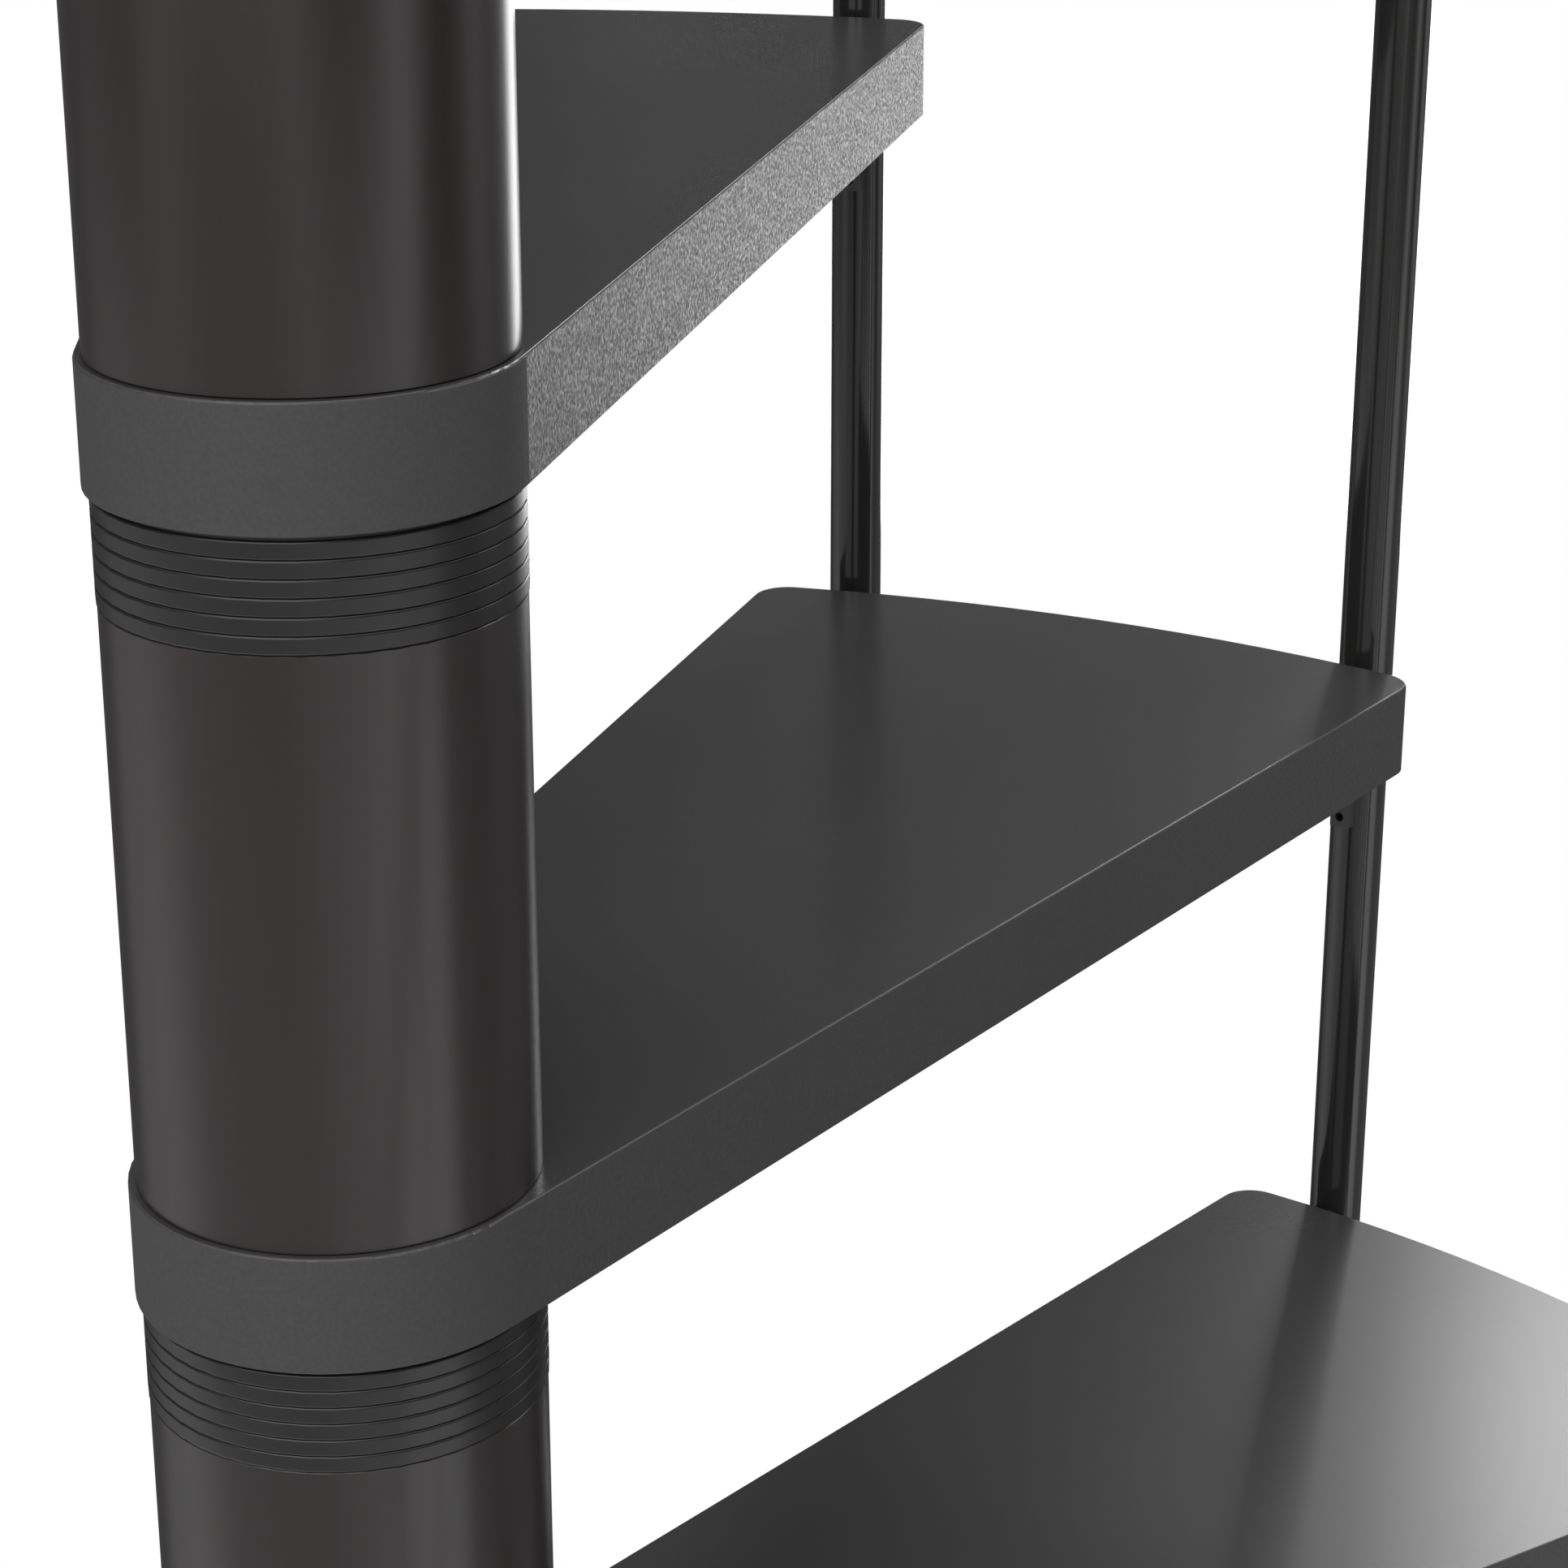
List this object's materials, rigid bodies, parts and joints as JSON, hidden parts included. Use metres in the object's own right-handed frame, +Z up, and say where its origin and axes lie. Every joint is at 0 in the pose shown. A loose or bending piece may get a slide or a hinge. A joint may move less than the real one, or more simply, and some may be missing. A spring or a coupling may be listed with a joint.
{
  "type": "spiral staircase",
  "caption": "Dark steel spiral staircase: wedge treads on a sleeved central column, round balusters and a helical handrail.",
  "frame": {"origin": "on the column's axis, at the underside of the base plate, which is floor level", "axes": "+Z up along the column; the treads climb counter-clockwise seen from above"},
  "size_m": [1.204, 1.1701, 4.0242],
  "materials": {
    "tread_paint": "fine textured charcoal powder coat",
    "sleeve_paint": "satin near-black paint",
    "baluster_paint": "gloss near-black paint",
    "ring_plastic": "matt moulded",
    "handrail_plastic": "satin moulded",
    "cap_plastic": "satin moulded",
    "base_paint": "fine textured charcoal powder coat",
    "pole_steel": "galvanised tube, hidden"
  },
  "bodies": {
    "root": {"base_plate": "base_paint", "center_pole": "pole_steel", "column_cap": "cap_plastic", "spacer_rings": "ring_plastic", "tread_01": "tread_paint", "sleeve_01": "sleeve_paint", "tread_02": "tread_paint", "sleeve_02": "sleeve_paint", "tread_03": "tread_paint", "sleeve_03": "sleeve_paint", "tread_04": "tread_paint", "sleeve_04": "sleeve_paint", "tread_05": "tread_paint", "sleeve_05": "sleeve_paint", "tread_06": "tread_paint", "sleeve_06": "sleeve_paint", "tread_07": "tread_paint", "sleeve_07": "sleeve_paint", "tread_08": "tread_paint", "sleeve_08": "sleeve_paint", "tread_09": "tread_paint", "sleeve_09": "sleeve_paint", "tread_10": "tread_paint", "sleeve_10": "sleeve_paint", "tread_11": "tread_paint", "sleeve_11": "sleeve_paint", "tread_12": "tread_paint", "sleeve_12": "sleeve_paint", "baluster_01": "baluster_paint", "baluster_02": "baluster_paint", "baluster_03": "baluster_paint", "baluster_04": "baluster_paint", "baluster_05": "baluster_paint", "baluster_06": "baluster_paint", "baluster_07": "baluster_paint", "baluster_08": "baluster_paint", "baluster_09": "baluster_paint", "baluster_10": "baluster_paint", "baluster_11": "baluster_paint", "baluster_12": "baluster_paint", "baluster_13": "baluster_paint", "handrail_1": "handrail_plastic", "handrail_2": "handrail_plastic", "handrail_3": "handrail_plastic", "handrail_4": "handrail_plastic"}
  },
  "joints": []
}
